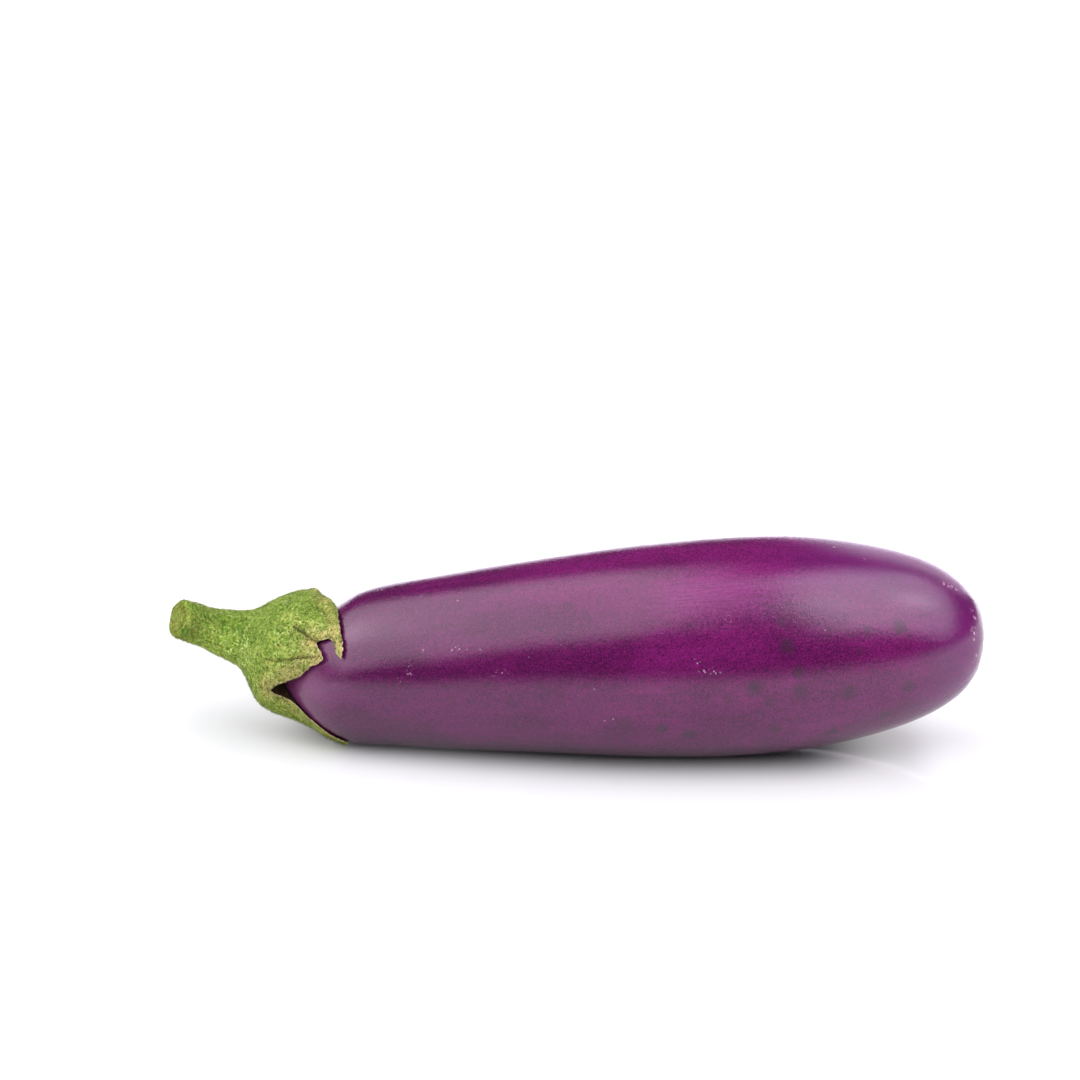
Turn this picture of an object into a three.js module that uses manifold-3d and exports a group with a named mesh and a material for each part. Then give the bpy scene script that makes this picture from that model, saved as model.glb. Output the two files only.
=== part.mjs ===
// A long purple eggplant as picked: the fruit, the green calyx that cups its
// shoulder in five pointed lobes, and the short cut stem. Millimetres, +Z up.
// It lies on its side on z = 0 with the stem towards -X and the blossom end
// towards +X. The fruit is slightly bowed in plan, bulging towards -Y.
import * as THREE from 'three';
import { mergeVertices } from 'three/addons/utils/BufferGeometryUtils.js';
import Module from 'manifold-3d';

// ---------------------------------------------------------------- dimensions
const SPINE_LENGTH = 210.586; // along the bowed centreline, cut end to blossom end
const SPINE = [ // control points of the centreline, a clamped uniform cubic B-spline
  [-101.334, 8.562, 33.136], [-98.356, 10.244, 31.521], [-91.729, 14.946, 27.412],
  [-79.616, 14.619, 24.685], [-68.047, 11.224, 21.150], [-55.964, 9.032, 19.803],
  [-43.785, 6.693, 21.570], [-31.655, 4.852, 22.777], [-19.433, 3.212, 24.230],
  [-7.178, 1.927, 25.385], [5.132, 0.941, 26.450], [17.470, 0.294, 27.310],
  [29.836, -0.024, 28.061], [42.197, -0.005, 28.769], [54.577, 0.428, 29.402],
  [66.904, 1.257, 29.830], [79.280, 2.485, 29.965], [91.495, 4.075, 29.704],
  [99.711, 5.380, 29.222], [103.720, 6.082, 28.883],
];
const FRUIT_PROFILE = [ // control points (station along the centreline, radius)
  [22.237, 0], [22.237, 3.609], [26.893, 6.705], [33.664, 9.325], [40.274, 14.028],
  [48.223, 19.202], [61.839, 21.277], [80.817, 23.131], [101.857, 25.089],
  [121.922, 26.969], [142.275, 27.891], [163.468, 27.538], [181.349, 24.452],
  [193.497, 20.861], [202.147, 16.496], [207.850, 10.930], [209.174, 5.146],
  [209.174, 0],
];
const OUTER_RADIUS = [ // stem and calyx outside, (station, radius)
  [0, 4.45], [0.775, 4.80], [2.92, 4.93], [7.43, 4.97], [12.56, 5.72], [17.45, 6.66],
  [19.05, 7.20], [20.64, 8.14], [22.24, 9.60], [23.85, 11.34], [25.48, 12.90],
  [27.12, 14.27], [28.78, 15.35], [30.44, 16.00], [33.76, 16.62], [37.07, 16.62],
  [40.32, 17.10], [43.53, 18.18], [46.7, 19.05], [52.0, 20.2],
];
const STEM_END_RADII = [[0, 3.75], [0.18, 4.25], [0.55, 4.62], [1.2, 4.84]]; // worn rim of the cut
const JOINT_STATION = 18.3;   // where the stem widens into the calyx
const CALYX_WALL = [[24, 7.0], [28, 5.2], [31, 3.9], [35, 2.9], [40, 2.2], [46, 1.7], [52, 1.4]];
const CALYX_TIP_STAND_OFF = 1.35; // least height of the calyx outside over the fruit
const CLEARANCE = 0.35;       // between the calyx and the fruit that it holds
const JOINT_GAP = 0.3;
const REST_SINK = 0.45;       // how far the underside is flattened
// Edge of the calyx, once round: (angle where the strip starts, station, angle at the edge).
// Angle 0 is the -Y side, 90 the top. Five lobes, the upper one ending in a small hook.
const CALYX_EDGE = [
  [112, 36.0, 112], [106, 37.9, 106], [98.5, 39.7, 98.5], [90, 41.4, 90], [80, 43.2, 80],
  [70, 45.0, 70], [59.5, 46.7, 59.5], [52, 48.0, 51], [46.5, 49.5, 42.5], [44.8, 50.3, 36.5],
  [43.4, 50.9, 30.5], [42.4, 50.4, 24.5], [41.6, 48.5, 29.5], [40.9, 47.3, 36.5],
  [40.0, 45.1, 39.5], [38.7, 43.2, 38.5], [37.2, 41.2, 37.0], [35, 41.5, 34], [31, 42.6, 30],
  [27, 43.7, 26.5], [23, 44.4, 23], [17.5, 42.9, 17.5], [13.5, 40.9, 13.5], [5, 39.2, 5],
  [1, 38.7, 1], [-6.5, 36.1, -6.5], [-12.5, 33.8, -12.5], [-20, 32.4, -20],
  [-26.5, 36.5, -26.5], [-32.5, 39.9, -32.5], [-37, 43.4, -37], [-44, 46.3, -44],
  [-51, 48.4, -51], [-58, 49.3, -58], [-66, 48.3, -66], [-76, 44.4, -76], [-86, 39.8, -86],
  [-95, 34.6, -95], [-101, 33.4, -101], [-108, 37.2, -108], [-118, 42.3, -118],
  [-128, 46.0, -128], [-136, 47.2, -136], [-145, 45.2, -145], [-155, 41.2, -155],
  [-165, 37.2, -165], [-173, 35.0, -173], [-178, 36.4, -178], [-184, 39.4, -184],
  [-192, 43.0, -192], [-202, 46.5, -202], [-210, 47.6, -210], [-218, 46.2, -218],
  [-228, 42.8, -228], [-238, 39.2, -238], [-244, 36.9, -244],
];
const HOOK_STATION = 45.5;    // the edge strips only turn sideways beyond this station
const FRUIT_AROUND = 52;
const FRUIT_ALONG = 40;
const STEM_AROUND = 36;
const CALYX_ROWS = 10;
const COLOURS = { fruit: 0x57204e, calyx: 0x93a553, stem: 0x8a9a4b };

// ---------------------------------------------------------------- curves
const rad = THREE.MathUtils.degToRad;
const clamp = THREE.MathUtils.clamp;

function bspline(ctrl, t) { // clamped uniform cubic
  const m = ctrl.length - 3;
  const x = clamp(t, 0, 1) * m;
  const i = Math.min(Math.floor(x), m - 1);
  const knot = (j) => clamp(j - 3, 0, m);
  const d = [0, 1, 2, 3].map((j) => ctrl[i + j].slice());
  for (let r = 1; r < 4; r++) {
    for (let j = 3; j >= r; j--) {
      const a = (x - knot(i + j)) / (knot(i + j + 4 - r) - knot(i + j));
      for (let k = 0; k < d[j].length; k++) d[j][k] = (1 - a) * d[j - 1][k] + a * d[j][k];
    }
  }
  return d[3];
}

function monotone(table) { // monotone cubic through (x, y) points
  const n = table.length;
  const h = [], s = [], m = new Array(n).fill(0);
  for (let i = 0; i < n - 1; i++) {
    h.push(table[i + 1][0] - table[i][0]);
    s.push((table[i + 1][1] - table[i][1]) / h[i]);
  }
  m[0] = s[0]; m[n - 1] = s[n - 2];
  for (let i = 1; i < n - 1; i++) {
    if (s[i - 1] * s[i] > 0) {
      const w1 = 2 * h[i] + h[i - 1], w2 = h[i] + 2 * h[i - 1];
      m[i] = (w1 + w2) / (w1 / s[i - 1] + w2 / s[i]);
    }
  }
  return (x) => {
    if (x <= table[0][0]) return table[0][1];
    if (x >= table[n - 1][0]) return table[n - 1][1];
    let i = 0;
    while (x > table[i + 1][0]) i++;
    const t = (x - table[i][0]) / h[i], t2 = t * t, t3 = t2 * t;
    return (2 * t3 - 3 * t2 + 1) * table[i][1] + (t3 - 2 * t2 + t) * h[i] * m[i]
      + (3 * t2 - 2 * t3) * table[i + 1][1] + (t3 - t2) * h[i] * m[i + 1];
  };
}

function frameAt(s) { // point and cross-section axes at a station of the centreline
  const p = new THREE.Vector3(...bspline(SPINE, s / SPINE_LENGTH));
  const a = new THREE.Vector3(...bspline(SPINE, (s + 0.05) / SPINE_LENGTH));
  const b = new THREE.Vector3(...bspline(SPINE, (s - 0.05) / SPINE_LENGTH));
  const along = a.sub(b).normalize();
  const up = new THREE.Vector3(0, 0, 1).addScaledVector(along, -along.z).normalize();
  const side = new THREE.Vector3().crossVectors(along, up);
  return { p, side, up };
}

function pointAt(s, angle, r) {
  const f = frameAt(s);
  return f.p.addScaledVector(f.side, r * Math.cos(angle)).addScaledVector(f.up, r * Math.sin(angle));
}

const fruitCurve = Array.from({ length: 1201 }, (_, i) => bspline(FRUIT_PROFILE, i / 1200));
function fruitRadius(s) {
  if (s <= fruitCurve[0][0] || s >= fruitCurve[1200][0]) return 0;
  let i = 1;
  while (fruitCurve[i][0] < s) i++;
  const a = fruitCurve[i - 1], b = fruitCurve[i];
  return a[1] + (b[1] - a[1]) * (s - a[0]) / (b[0] - a[0]);
}

const outerTable = monotone(OUTER_RADIUS);
const wallTable = monotone(CALYX_WALL);
const wrap = (a) => a - 2 * Math.PI * Math.round(a / (2 * Math.PI));
const bell = (x, w) => Math.exp(-((x / w) ** 2));

function outerRadius(s, angle) { // the upper lobe stands proud, the lower ones lie closer
  const up = bell(wrap(angle - rad(78)), rad(42));
  const low = bell(wrap(angle + rad(85)), rad(50));
  const belly = bell(s - 34.1, 4.2);
  const free = outerTable(s) + belly * (0.75 * up - 0.45 * low) - 0.9 * up * clamp((s - 37.4) / 6, 0, 1);
  const least = fruitRadius(s) + CALYX_TIP_STAND_OFF * clamp((s - 26) / 12, 0, 1);
  const k = 0.25; // soft maximum of the two
  return 0.5 * (free + least + Math.sqrt((free - least) ** 2 + k * k));
}

// ---------------------------------------------------------------- meshes
// Rings of points joined into one closed skin, with a pole at each end.
function skin(startPole, rings, endPole) {
  const n = rings[0].length;
  const pts = [startPole, ...rings.flat(), endPole];
  const pos = new Float32Array(pts.length * 3);
  pts.forEach((p, i) => { pos[3 * i] = p.x; pos[3 * i + 1] = p.y; pos[3 * i + 2] = p.z; });
  const idx = [];
  const at = (r, c) => 1 + r * n + (c % n);
  const last = pts.length - 1;
  for (let c = 0; c < n; c++) {
    idx.push(0, at(0, c), at(0, c + 1));
    for (let r = 0; r < rings.length - 1; r++) {
      const a = at(r, c), b = at(r, c + 1), d = at(r + 1, c), e = at(r + 1, c + 1);
      idx.push(a, d, e, a, e, b);
    }
    idx.push(last, at(rings.length - 1, c + 1), at(rings.length - 1, c));
  }
  const g = new THREE.BufferGeometry();
  g.setAttribute('position', new THREE.BufferAttribute(pos, 3));
  g.setIndex(idx);
  return g;
}

function volume(g) {
  const p = g.attributes.position, ix = g.index;
  const a = new THREE.Vector3(), b = new THREE.Vector3(), c = new THREE.Vector3();
  let v = 0;
  for (let i = 0; i < ix.count; i += 3) {
    a.fromBufferAttribute(p, ix.getX(i)); b.fromBufferAttribute(p, ix.getX(i + 1)); c.fromBufferAttribute(p, ix.getX(i + 2));
    v += a.dot(b.cross(c)) / 6;
  }
  return v;
}

function facingOut(g) {
  if (volume(g) < 0) {
    const a = Array.from(g.index.array);
    for (let i = 0; i < a.length; i += 3) [a[i + 1], a[i + 2]] = [a[i + 2], a[i + 1]];
    g.setIndex(a);
  }
  return g;
}

const angles = (n) => Array.from({ length: n }, (_, i) => rad(-90) + (2 * Math.PI * i) / n);

function fruitGeometry() {
  const rings = [];
  for (let i = 1; i < FRUIT_ALONG; i++) {
    const [s, r] = bspline(FRUIT_PROFILE, i / FRUIT_ALONG);
    rings.push(angles(FRUIT_AROUND).map((a) => pointAt(s, a, r)));
  }
  const first = FRUIT_PROFILE[0][0], last = FRUIT_PROFILE[FRUIT_PROFILE.length - 1][0];
  return facingOut(skin(pointAt(first, 0, 0), rings, pointAt(last, 0, 0)));
}

function stemGeometry() {
  const end = JOINT_STATION - JOINT_GAP / 2;
  const rings = [];
  for (const [s, r] of STEM_END_RADII) rings.push(angles(STEM_AROUND).map((a) => pointAt(s, a, r)));
  for (let i = 1; i <= 9; i++) {
    const s = 1.2 + ((end - 1.2) * i) / 9;
    rings.push(angles(STEM_AROUND).map((a) => pointAt(s, a, outerRadius(s, a))));
  }
  return facingOut(skin(pointAt(0, 0, 0), rings, pointAt(end, 0, 0)));
}

function calyxColumns() { // the edge table with its wide steps split
  const cols = [];
  CALYX_EDGE.forEach((e, i) => {
    const nx = i + 1 < CALYX_EDGE.length ? CALYX_EDGE[i + 1]
      : [CALYX_EDGE[0][0] - 360, CALYX_EDGE[0][1], CALYX_EDGE[0][2] - 360];
    cols.push(e);
    if (e[0] - nx[0] > 6.5) cols.push([0, 1, 2].map((k) => (e[k] + nx[k]) / 2));
  });
  return cols;
}

function calyxGeometry() {
  const base = JOINT_STATION + JOINT_GAP / 2;
  const cols = calyxColumns();
  const angleAt = (col, s) => {
    const f = clamp((s - HOOK_STATION) / Math.max(col[1] - HOOK_STATION, 0.01), 0, 1);
    return rad(col[0] + (col[2] - col[0]) * f * f);
  };
  const rings = [];
  rings.push(cols.map((c) => pointAt(base, rad(c[0]), outerRadius(base, rad(c[0])))));
  for (let i = 1; i <= CALYX_ROWS; i++) {
    rings.push(cols.map((c) => {
      const s = base + ((c[1] - base) * i) / CALYX_ROWS;
      const a = angleAt(c, s);
      return pointAt(s, a, outerRadius(s, a));
    }));
  }
  // inside: the fruit's own surface moved out by the clearance, or the wall's thickness in
  const inner = fruitCurve.map(([s, r], i) => {
    const p = fruitCurve[Math.max(i - 1, 0)], q = fruitCurve[Math.min(i + 1, 1200)];
    const l = Math.hypot(q[0] - p[0], q[1] - p[1]);
    return [s - (CLEARANCE * (q[1] - p[1])) / l, r + (CLEARANCE * (q[0] - p[0])) / l];
  });
  inner[0] = [FRUIT_PROFILE[0][0] - CLEARANCE, 0];
  const innerAtStation = (s) => {
    let i = 1;
    while (inner[i][0] < s) i++;
    return i;
  };
  for (let k = 0; k < CALYX_ROWS; k++) {
    rings.push(cols.map((c) => {
      const edge = innerAtStation(c[1]);
      const j = Math.max(2, Math.round(edge * (1 - k / CALYX_ROWS)));
      let [s, r] = inner[j];
      if (k === 0) s = c[1];
      const a = angleAt(c, s);
      const hollow = outerRadius(s, a) - wallTable(s);
      const open = clamp((s - 25) / 3, 0, 1);
      r = Math.max(r, r + (hollow - r) * open);
      if (k === 0) r = Math.min(r, outerRadius(s, a) - 0.75);
      return pointAt(s, a, r);
    }));
  }
  return facingOut(skin(pointAt(base, 0, 0), rings, pointAt(inner[0][0], 0, 0)));
}

// ---------------------------------------------------------------- assembly
const fruitRaw = fruitGeometry();
const calyxRaw = calyxGeometry();
const stemRaw = stemGeometry();

// Origin: middle of the footprint's box, on the surface the eggplant lies on.
const box = new THREE.Box3();
for (const g of [fruitRaw, calyxRaw, stemRaw]) { g.computeBoundingBox(); box.union(g.boundingBox); }
const shift = new THREE.Vector3(-(box.min.x + box.max.x) / 2, -(box.min.y + box.max.y) / 2, -(box.min.z + REST_SINK));
for (const g of [fruitRaw, calyxRaw, stemRaw]) g.translate(shift.x, shift.y, shift.z);

// The small flat spot the fruit rests on, cut by the plane z = 0.
const wasm = await Module();
wasm.setup();
function toManifold(geometry) {
  const g = geometry.clone();
  g.deleteAttribute('normal'); g.deleteAttribute('uv');
  const m = mergeVertices(g, 1e-5);
  return new wasm.Manifold(new wasm.Mesh({
    numProp: 3,
    vertProperties: new Float32Array(m.attributes.position.array),
    triVerts: new Uint32Array(m.index.array),
  }));
}
function fromManifold(solid) {
  const m = solid.getMesh();
  const g = new THREE.BufferGeometry();
  const pos = new Float32Array(m.numVert * 3);
  for (let i = 0; i < m.numVert; i++) for (let k = 0; k < 3; k++) pos[3 * i + k] = m.vertProperties[i * m.numProp + k];
  g.setAttribute('position', new THREE.BufferAttribute(pos, 3));
  g.setIndex(Array.from(m.triVerts));
  return g;
}
const below = new THREE.BoxGeometry(400, 400, 50);
below.translate(0, 0, -25);
const fruitSolid = fromManifold(toManifold(fruitRaw).subtract(toManifold(below)));

function piece(name, geometry, color, roughness) {
  geometry.computeVertexNormals();
  const mesh = new THREE.Mesh(geometry, new THREE.MeshStandardMaterial({ color, roughness, metalness: 0 }));
  mesh.name = name;
  return mesh;
}

const eggplant = new THREE.Group();
eggplant.name = 'long_eggplant';
eggplant.add(
  piece('fruit', fruitSolid, COLOURS.fruit, 0.25),
  piece('calyx', calyxRaw, COLOURS.calyx, 0.8),
  piece('stem', stemRaw, COLOURS.stem, 0.8),
);
export default eggplant;
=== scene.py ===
# A long purple eggplant lying on a white table under two soft boxes.
import math
import bpy
import numpy as np
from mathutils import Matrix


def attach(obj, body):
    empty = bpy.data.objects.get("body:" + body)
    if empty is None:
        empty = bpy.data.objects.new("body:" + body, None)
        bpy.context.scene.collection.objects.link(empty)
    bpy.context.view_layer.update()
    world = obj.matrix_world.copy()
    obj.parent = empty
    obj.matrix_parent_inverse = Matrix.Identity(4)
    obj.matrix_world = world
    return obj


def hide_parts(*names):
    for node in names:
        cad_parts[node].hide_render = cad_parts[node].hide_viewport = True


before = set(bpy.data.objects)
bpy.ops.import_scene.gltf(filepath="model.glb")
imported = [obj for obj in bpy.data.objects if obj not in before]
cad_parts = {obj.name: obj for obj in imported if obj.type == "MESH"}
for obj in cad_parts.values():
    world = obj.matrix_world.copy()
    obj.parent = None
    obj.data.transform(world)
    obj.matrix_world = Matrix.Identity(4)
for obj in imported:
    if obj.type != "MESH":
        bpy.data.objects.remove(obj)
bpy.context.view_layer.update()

MM = 0.001
RNG = np.random.default_rng(20833)

# ------------------------------------------------------------------ dimensions, millimetres
SHIFT = np.array([0.4245, -0.4516, -0.8686])  # from the curve's own frame to the part's frame
SPINE_LENGTH = 210.586
SPINE = np.array([
    [-101.334, 8.562, 33.136], [-98.356, 10.244, 31.521], [-91.729, 14.946, 27.412],
    [-79.616, 14.619, 24.685], [-68.047, 11.224, 21.150], [-55.964, 9.032, 19.803],
    [-43.785, 6.693, 21.570], [-31.655, 4.852, 22.777], [-19.433, 3.212, 24.230],
    [-7.178, 1.927, 25.385], [5.132, 0.941, 26.450], [17.470, 0.294, 27.310],
    [29.836, -0.024, 28.061], [42.197, -0.005, 28.769], [54.577, 0.428, 29.402],
    [66.904, 1.257, 29.830], [79.280, 2.485, 29.965], [91.495, 4.075, 29.704],
    [99.711, 5.380, 29.222], [103.720, 6.082, 28.883]])
FRUIT_PROFILE = np.array([
    [22.237, 0], [22.237, 3.609], [26.893, 6.705], [33.664, 9.325], [40.274, 14.028],
    [48.223, 19.202], [61.839, 21.277], [80.817, 23.131], [101.857, 25.089],
    [121.922, 26.969], [142.275, 27.891], [163.468, 27.538], [181.349, 24.452],
    [193.497, 20.861], [202.147, 16.496], [207.850, 10.930], [209.174, 5.146],
    [209.174, 0]])
OUTER_RADIUS = np.array([
    [0, 4.45], [0.775, 4.80], [2.92, 4.93], [7.43, 4.97], [12.56, 5.72], [17.45, 6.66],
    [19.05, 7.20], [20.64, 8.14], [22.24, 9.60], [23.85, 11.34], [25.48, 12.90],
    [27.12, 14.27], [28.78, 15.35], [30.44, 16.00], [33.76, 16.62], [37.07, 16.62],
    [40.32, 17.10], [43.53, 18.18], [46.7, 19.05], [52.0, 20.2]])
CALYX_WALL = np.array([[24, 7.0], [28, 5.2], [31, 3.9], [35, 2.9], [40, 2.2], [46, 1.7], [52, 1.4]])
CALYX_TIP_STAND_OFF = 1.35
CLEARANCE = 0.35
JOINT_STATION = 18.3
HOOK_STATION = 45.5
CALYX_EDGE = np.array([
    [112, 33.6, 112], [106, 34.8, 106], [98.5, 37.3, 98.5], [90, 40.5, 90], [80, 43.0, 80],
    [70, 45.0, 70], [59.5, 46.7, 59.5], [52, 48.0, 51], [46.5, 49.5, 42.5], [44.8, 50.3, 36.5],
    [43.4, 50.9, 30.5], [42.4, 50.4, 24.5], [41.6, 48.5, 29.5], [40.9, 47.3, 36.5],
    [40.0, 45.1, 39.5], [38.7, 43.2, 38.5], [37.2, 41.2, 37.0], [35, 41.5, 34], [31, 42.6, 30],
    [27, 43.7, 26.5], [23, 44.4, 23], [17.5, 42.9, 17.5], [13.5, 40.9, 13.5], [5, 39.2, 5],
    [1, 38.7, 1], [-6.5, 36.1, -6.5], [-12.5, 33.8, -12.5], [-20, 32.4, -20],
    [-28.5, 36.5, -28.5], [-35.5, 39.9, -35.5], [-41, 43.2, -41], [-47.5, 46.2, -47.5],
    [-53.5, 48.4, -53.5], [-58.5, 49.3, -58.5], [-66, 48.3, -66], [-76, 44.4, -76], [-86, 39.8, -86],
    [-95, 34.6, -95], [-101, 33.4, -101], [-108, 37.2, -108], [-118, 42.3, -118],
    [-128, 46.0, -128], [-136, 47.2, -136], [-145, 45.2, -145], [-155, 41.2, -155],
    [-165, 37.2, -165], [-173, 35.0, -173], [-178, 36.4, -178], [-184, 39.4, -184],
    [-192, 43.0, -192], [-202, 46.5, -202], [-210, 47.6, -210], [-218, 46.2, -218],
    [-228, 42.8, -228], [-238, 39.2, -238], [-244, 36.9, -244]], float)


# ------------------------------------------------------------------ curves
def bspline(ctrl, t):
    """Clamped uniform cubic B-spline."""
    n = len(ctrl)
    m = n - 3
    t = np.clip(np.asarray(t, float), 0, 1) * m
    shape = t.shape
    t = t.ravel()
    i = np.minimum(t.astype(int), m - 1)

    def knot(j):
        return np.clip(j - 3, 0, m).astype(float)
    d = [ctrl[i + j].astype(float) for j in range(4)]
    for r in range(1, 4):
        for j in range(3, r - 1, -1):
            a0, a1 = knot(i + j), knot(i + j + 4 - r)
            a = ((t - a0) / (a1 - a0))[:, None]
            d[j] = (1 - a) * d[j - 1] + a * d[j]
    return d[3].reshape(shape + (ctrl.shape[1],))


def monotone(table):
    """Monotone cubic through (x, y) points, as a function."""
    x, y = table[:, 0].astype(float), table[:, 1].astype(float)
    h = np.diff(x)
    s = np.diff(y) / h
    m = np.zeros(len(x))
    m[0], m[-1] = s[0], s[-1]
    for i in range(1, len(x) - 1):
        if s[i - 1] * s[i] > 0:
            w1, w2 = 2 * h[i] + h[i - 1], h[i] + 2 * h[i - 1]
            m[i] = (w1 + w2) / (w1 / s[i - 1] + w2 / s[i])

    def f(q):
        q = np.clip(np.asarray(q, float), x[0], x[-1])
        i = np.clip(np.searchsorted(x, q, side="right") - 1, 0, len(h) - 1)
        t = (q - x[i]) / h[i]
        t2, t3 = t * t, t * t * t
        return ((2 * t3 - 3 * t2 + 1) * y[i] + (t3 - 2 * t2 + t) * h[i] * m[i]
                + (3 * t2 - 2 * t3) * y[i + 1] + (t3 - t2) * h[i] * m[i + 1])
    return f


def spine_at(s):
    s = np.asarray(s, float)
    at = np.clip(s, 0.05, SPINE_LENGTH - 0.05)
    along = bspline(SPINE, (at + 0.05) / SPINE_LENGTH) - bspline(SPINE, (at - 0.05) / SPINE_LENGTH)
    along /= np.linalg.norm(along, axis=-1, keepdims=True)
    p = bspline(SPINE, at / SPINE_LENGTH) + along * (s - at)[..., None]
    up = np.zeros_like(along)
    up[..., 2] = 1
    up -= along * along[..., 2:3]
    up /= np.linalg.norm(up, axis=-1, keepdims=True)
    side = np.cross(along, up)
    return p + SHIFT, along, side, up


def place(s, angle, r):
    p, along, side, up = spine_at(s)
    return p + r[..., None] * (np.cos(angle)[..., None] * side + np.sin(angle)[..., None] * up)


FRUIT_CURVE = bspline(FRUIT_PROFILE, np.linspace(0, 1, 2401))


def fruit_radius(s):
    return np.interp(s, FRUIT_CURVE[:, 0], FRUIT_CURVE[:, 1], left=0, right=0)


outer_table = monotone(OUTER_RADIUS)
wall_table = monotone(CALYX_WALL)


def wrap(a):
    return a - 2 * np.pi * np.round(a / (2 * np.pi))


def bell(x, w):
    return np.exp(-(x / w) ** 2)


def ramp(x, a, b):
    t = np.clip((x - a) / (b - a), 0, 1)
    return t * t * (3 - 2 * t)


def skin_radius(s, angle):
    """The fruit's own radius, with its shoulder a little fuller underneath."""
    full = bell(wrap(angle + np.radians(72)), np.radians(62)) * ramp(s, 30, 38) * (1 - ramp(s, 44, 60))
    front = bell(wrap(angle + np.radians(42)), np.radians(24)) * ramp(s, 30, 37) * (1 - ramp(s, 42, 54))
    return fruit_radius(s) + 1.45 * full + 0.60 * front


def outer_radius(s, angle):
    up = bell(wrap(angle - np.radians(78)), np.radians(42))
    low = bell(wrap(angle + np.radians(85)), np.radians(50))
    belly = bell(s - 34.1, 4.2)
    free = outer_table(s) + belly * (0.75 * up - 0.45 * low) - 0.9 * up * np.clip((s - 37.4) / 6, 0, 1)
    least = fruit_radius(s) + CALYX_TIP_STAND_OFF * np.clip((s - 26) / 12, 0, 1)
    return 0.5 * (free + least + np.sqrt((free - least) ** 2 + 0.0625))


# ------------------------------------------------------------------ smooth noise on a lattice
def lattice(ix, iy, iz, seed):
    h = (ix.astype(np.int64) * 374761393 + iy.astype(np.int64) * 668265263
         + iz.astype(np.int64) * 2147483647 + seed * 1274126177) & 0xFFFFFFFF
    h = ((h ^ (h >> 13)) * 1274126177) & 0xFFFFFFFF
    h = (h ^ (h >> 16)) & 0xFFFFFFFF
    return h / 2147483647.5 - 1.0


def noise(p, seed=0):
    """Value noise in -1..1 at points p (..., 3), one lattice cell per unit."""
    i = np.floor(p).astype(np.int64)
    f = p - i
    f = f * f * f * (f * (f * 6 - 15) + 10)
    out = 0
    for dx in (0, 1):
        wx = f[..., 0] if dx else 1 - f[..., 0]
        for dy in (0, 1):
            wy = f[..., 1] if dy else 1 - f[..., 1]
            for dz in (0, 1):
                wz = f[..., 2] if dz else 1 - f[..., 2]
                out = out + wx * wy * wz * lattice(i[..., 0] + dx, i[..., 1] + dy, i[..., 2] + dz, seed)
    return out


def fbm(p, octaves=3, seed=0):
    out, a, k = 0, 1.0, 1.0
    for o in range(octaves):
        out = out + a * noise(p * k + 17.3 * o, seed + o)
        a *= 0.5
        k *= 2.03
    return out / 1.75


# ------------------------------------------------------------------ meshes
def closed_skin(rings, start_pole, end_pole):
    """Faces of a skin of rings (R, C, 3) with a pole at each end. Returns vertices and quads, triangles."""
    R, C = rings.shape[:2]
    verts = np.vstack([start_pole[None], rings.reshape(-1, 3), end_pole[None]])
    a = 1 + np.arange(R * C).reshape(R, C)
    b = np.roll(a, -1, axis=1)
    quads = np.stack([a[:-1], b[:-1], b[1:], a[1:]], -1).reshape(-1, 4)
    last = len(verts) - 1
    t0 = np.stack([np.zeros(C, int), b[0], a[0]], -1)
    t1 = np.stack([np.full(C, last), a[-1], b[-1]], -1)
    return verts, quads, np.vstack([t0, t1])


def make_mesh(name, verts, quads, tris, attrs=None, sharp=None):
    """One mesh object, in metres, with float attributes per vertex."""
    nq, nt = len(quads), len(tris)
    me = bpy.data.meshes.new(name)
    me.vertices.add(len(verts))
    me.vertices.foreach_set("co", (np.asarray(verts) * MM).astype(np.float32).ravel())
    loops = np.concatenate([np.asarray(quads).ravel(), np.asarray(tris).ravel()]).astype(np.int32)
    me.loops.add(len(loops))
    me.loops.foreach_set("vertex_index", loops)
    starts = np.concatenate([np.arange(nq) * 4, nq * 4 + np.arange(nt) * 3]).astype(np.int32)
    me.polygons.add(nq + nt)
    me.polygons.foreach_set("loop_start", starts)
    me.update(calc_edges=True)
    me.validate(verbose=False)
    me.polygons.foreach_set("use_smooth", np.ones(len(me.polygons), bool))
    for key, val in (attrs or {}).items():
        val = np.asarray(val, np.float32)
        if val.ndim == 2:
            at = me.attributes.new(key, "FLOAT_VECTOR", "POINT")
            at.data.foreach_set("vector", val.ravel())
        else:
            at = me.attributes.new(key, "FLOAT", "POINT")
            at.data.foreach_set("value", val.ravel())
    me.update()
    ob = bpy.data.objects.new(name, me)
    bpy.context.scene.collection.objects.link(ob)
    return ob


def signed_volume(verts, quads, tris):
    t = np.vstack([quads[:, [0, 1, 2]], quads[:, [0, 2, 3]], tris])
    a, b, c = verts[t[:, 0]], verts[t[:, 1]], verts[t[:, 2]]
    return float((a * np.cross(b, c)).sum() / 6)


def face_out(verts, quads, tris):
    if signed_volume(verts, quads, tris) < 0:
        return quads[:, ::-1], tris[:, ::-1]
    return quads, tris


def ring_normals(grid, flip=1.0):
    """Unit normals of a grid of rings (R, C, 3), closed round C."""
    dr = np.gradient(grid, axis=0)
    dc = (np.roll(grid, -1, axis=1) - np.roll(grid, 1, axis=1)) / 2
    n = np.cross(dr, dc)
    n /= np.linalg.norm(n, axis=-1, keepdims=True) + 1e-12
    return n * flip


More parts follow.
